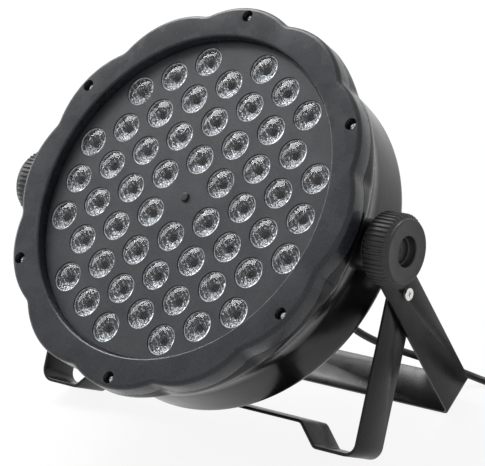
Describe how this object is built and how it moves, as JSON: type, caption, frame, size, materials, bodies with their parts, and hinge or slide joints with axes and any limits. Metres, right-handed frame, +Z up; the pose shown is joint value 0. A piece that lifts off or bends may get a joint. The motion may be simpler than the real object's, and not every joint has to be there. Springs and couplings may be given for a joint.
{
  "type": "par can light",
  "caption": "Flat round LED par can with a scalloped rim and a grid of lenses, held by clamp knobs in a two-bracket folding floor stand with a power lead.",
  "frame": {"origin": "on the floor, under the middle of the lamp and its stand, leaving the power lead out", "axes": "+Z up, X along the tilt axis between the two clamp knobs, the lamp looks towards -Y and up"},
  "size_m": [0.3901, 0.2432, 0.2222],
  "materials": {
    "bezel_plastic": "fine textured charcoal moulding",
    "housing_plastic": "smooth glossy black moulding",
    "bracket_paint": "satin black powder coat",
    "plate_plastic": "fine textured charcoal",
    "lens_acrylic": "clear acrylic with a beaded face",
    "emitter": "phosphor",
    "circuit_board": "solder mask",
    "white_board": "white solder mask",
    "bare_aluminium": "machined",
    "zinc_steel": "bright zinc",
    "brass": "turned",
    "knob_plastic": "moulded black",
    "black_plastic": "moulded black",
    "button_rubber": "moulded",
    "smoked_acrylic": "smoked red",
    "cord_pvc": "matt black sheath",
    "nylon": "nylon",
    "capacitor_sleeve": "shrink sleeve",
    "ferrite": "taped core"
  },
  "bodies": {
    "stand": {"rear_bracket": "bracket_paint", "hinge_screws": "zinc_steel", "hinge_nuts": "zinc_steel", "hinge_washers": "nylon", "power_cord": "cord_pvc", "cord_coil": "cord_pvc", "cord_tail": "cord_pvc", "plug_body": "black_plastic", "plug_pins": "brass"},
    "head": {"front_bezel": "bezel_plastic", "bezel_screws": "zinc_steel", "lens_plate": "plate_plastic", "plate_screw": "zinc_steel", "lenses": "lens_acrylic", "led_emitters": "emitter", "led_board": "white_board", "heat_spreader": "bare_aluminium", "spreader_screws": "zinc_steel", "heat_sink": "bare_aluminium", "rear_housing": "housing_plastic", "pivot_inserts": "brass", "friction_washers": "nylon", "control_board": "circuit_board", "tact_switches": "black_plastic", "display_module": "black_plastic", "display_window": "smoked_acrylic", "microphone": "zinc_steel", "dmx_in_socket": "black_plastic", "dmx_out_socket": "black_plastic", "socket_screws": "zinc_steel", "fuse_holder": "black_plastic", "fuse_nut": "black_plastic", "fan_frame": "black_plastic", "fan_screws": "zinc_steel", "board_posts": "brass", "supply_board": "circuit_board", "supply_transformer": "ferrite", "supply_capacitors": "capacitor_sleeve", "driver_board": "circuit_board", "cable_gland": "nylon", "gland_nut": "nylon", "strain_relief": "cord_pvc"},
    "front_stand": {"front_bracket": "bracket_paint"},
    "knob_washer_right": {"knob_washer_right": "zinc_steel"},
    "knob_washer_left": {"knob_washer_left": "zinc_steel"},
    "knob_right": {"knob_right": "knob_plastic", "knob_stud_right": "zinc_steel"},
    "knob_left": {"knob_left": "knob_plastic", "knob_stud_left": "zinc_steel"},
    "fan_rotor": {"fan_rotor": "black_plastic"},
    "button_mode": {"button_mode": "button_rubber"},
    "button_down": {"button_down": "button_rubber"},
    "button_up": {"button_up": "button_rubber"},
    "button_set": {"button_set": "button_rubber"}
  },
  "joints": [
    {"name": "head_tilt", "type": "hinge", "parent": "stand", "child": "head", "pos_m": [0, 0.00303, 0.11935], "axis": [-1, 0, 0], "range_deg": [-1.5, 70]},
    {"name": "stand_fold", "type": "hinge", "parent": "stand", "child": "front_stand", "pos_m": [0, 0.01976, 0.08557], "axis": [1, 0, 0], "range_deg": [0, 39]},
    {"name": "knob_right_travel", "type": "slide", "parent": "head", "child": "knob_washer_right", "axis": [1, 0, 0], "range_m": [0, 0.00251]},
    {"name": "knob_right_turn", "type": "hinge", "parent": "knob_washer_right", "child": "knob_right", "pos_m": [0.1258, 0.00303, 0.11935], "axis": [1, 0, 0], "range_deg": [0, 720]},
    {"name": "knob_left_travel", "type": "slide", "parent": "head", "child": "knob_washer_left", "axis": [-1, 0, 0], "range_m": [0, 0.00251]},
    {"name": "knob_left_turn", "type": "hinge", "parent": "knob_washer_left", "child": "knob_left", "pos_m": [-0.1258, 0.00303, 0.11935], "axis": [-1, 0, 0], "range_deg": [0, 720]},
    {"name": "fan_spin", "type": "hinge", "parent": "head", "child": "fan_rotor", "pos_m": [0, 0.03568, 0.11291], "axis": [0, 0.7206, -0.6934], "continuous": true},
    {"name": "button_mode_press", "type": "slide", "parent": "head", "child": "button_mode", "axis": [0, -0.7206, 0.6934], "range_m": [0, 0.0006], "stiffness_N_per_m": 900},
    {"name": "button_down_press", "type": "slide", "parent": "head", "child": "button_down", "axis": [0, -0.7206, 0.6934], "range_m": [0, 0.0006], "stiffness_N_per_m": 900},
    {"name": "button_up_press", "type": "slide", "parent": "head", "child": "button_up", "axis": [0, -0.7206, 0.6934], "range_m": [0, 0.0006], "stiffness_N_per_m": 900},
    {"name": "button_set_press", "type": "slide", "parent": "head", "child": "button_set", "axis": [0, -0.7206, 0.6934], "range_m": [0, 0.0006], "stiffness_N_per_m": 900}
  ],
  "couplings": [
    {"joint": "knob_right_travel", "follows": "knob_right_turn", "m_per_rad": 0.00019894},
    {"joint": "knob_left_travel", "follows": "knob_left_turn", "m_per_rad": 0.00019894}
  ]
}
